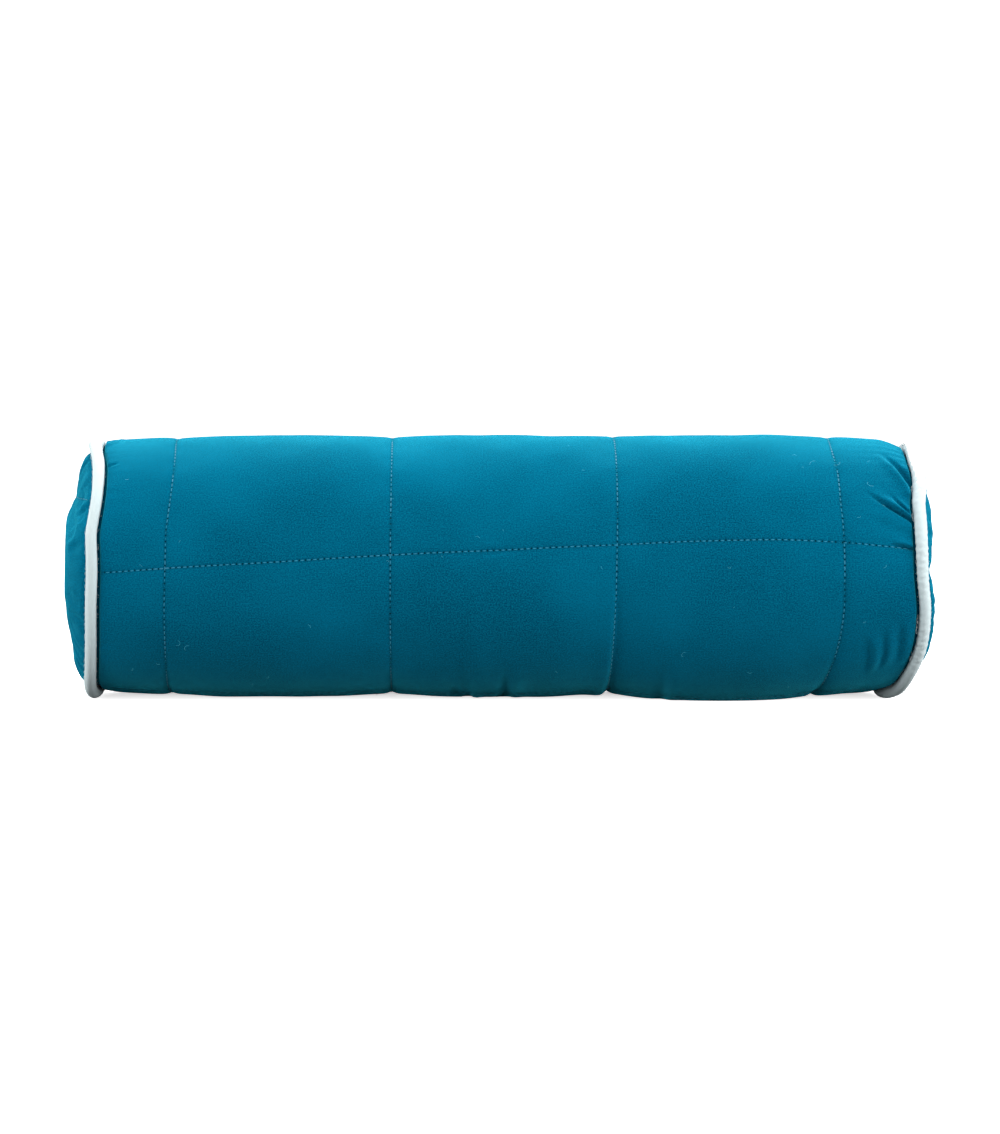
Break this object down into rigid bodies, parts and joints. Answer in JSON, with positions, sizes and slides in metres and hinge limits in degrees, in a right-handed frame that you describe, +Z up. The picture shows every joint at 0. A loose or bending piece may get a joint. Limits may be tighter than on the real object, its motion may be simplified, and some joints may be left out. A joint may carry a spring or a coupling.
{
  "type": "bolster pillow",
  "caption": "Round quilted bolster pillow with crowned ends, piped end seams, a zip along its back and a separate filled inner pillow.",
  "frame": {"origin": "on the surface the bolster rests on, under the middle of its length and of its width", "axes": "+X along the bolster, -Y towards its front, +Z up, away from the surface it rests on"},
  "size_m": [0.5008, 0.156, 0.153],
  "materials": {
    "face_cotton": "matt plain-weave cotton, teal",
    "lining_cotton": "matt plain-weave cotton, teal",
    "wadding": "soft bonded polyester fibre, white",
    "sewing_thread": "twisted polyester thread, lighter teal",
    "piping_cotton": "matt cotton bias strip, pale aqua",
    "piping_cord": "soft twisted cotton cord, natural white",
    "zip_tape": "woven polyester tape, teal",
    "zip_teeth": "moulded teeth, teal",
    "zip_metal": "nickel-plated zinc casting",
    "casing_cotton": "fine matt cotton casing, natural white",
    "casing_thread": "white polyester thread",
    "filling_fibre": "loose siliconised polyester fibre, white"
  },
  "bodies": {
    "root": {"barrel_face_cloth": "face_cotton", "barrel_wadding": "wadding", "barrel_lining": "lining_cotton", "quilting_hoop_threads": "sewing_thread", "quilting_row_threads": "sewing_thread", "back_seam_threads": "sewing_thread", "left_end_face_cloth": "face_cotton", "left_end_wadding": "wadding", "left_end_lining": "lining_cotton", "left_end_quilting_thread": "sewing_thread", "left_piping_cord": "piping_cord", "left_piping_bias_strip": "piping_cotton", "left_seam_threads": "sewing_thread", "right_end_face_cloth": "face_cotton", "right_end_wadding": "wadding", "right_end_lining": "lining_cotton", "right_end_quilting_thread": "sewing_thread", "right_piping_cord": "piping_cord", "right_piping_bias_strip": "piping_cotton", "right_seam_threads": "sewing_thread", "zip_tape_upper": "zip_tape", "zip_tape_lower": "zip_tape", "zip_teeth_upper": "zip_teeth", "zip_teeth_lower": "zip_teeth", "zip_top_stops": "zip_metal", "zip_bottom_stop": "zip_metal", "zip_topstitch_thread": "sewing_thread", "inner_casing_barrel": "casing_cotton", "inner_casing_left_end": "casing_cotton", "inner_casing_right_end": "casing_cotton", "inner_casing_closing_stitches": "casing_thread", "polyester_filling": "filling_fibre"},
    "zip_slider": {"zip_slider": "zip_metal"},
    "zip_pull": {"zip_pull": "zip_metal"}
  },
  "joints": [
    {"name": "zip_slide", "type": "slide", "parent": "root", "child": "zip_slider", "axis": [-1, 0, 0], "range_m": [0, 0.329], "deforming": ["zip_teeth_upper", "zip_teeth_lower"]},
    {"name": "pull_hinge", "type": "hinge", "parent": "zip_slider", "child": "zip_pull", "pos_m": [0.1666, 0.0737, 0.09475], "axis": [0, 0.2588, -0.9659], "range_deg": [0, 160]}
  ]
}
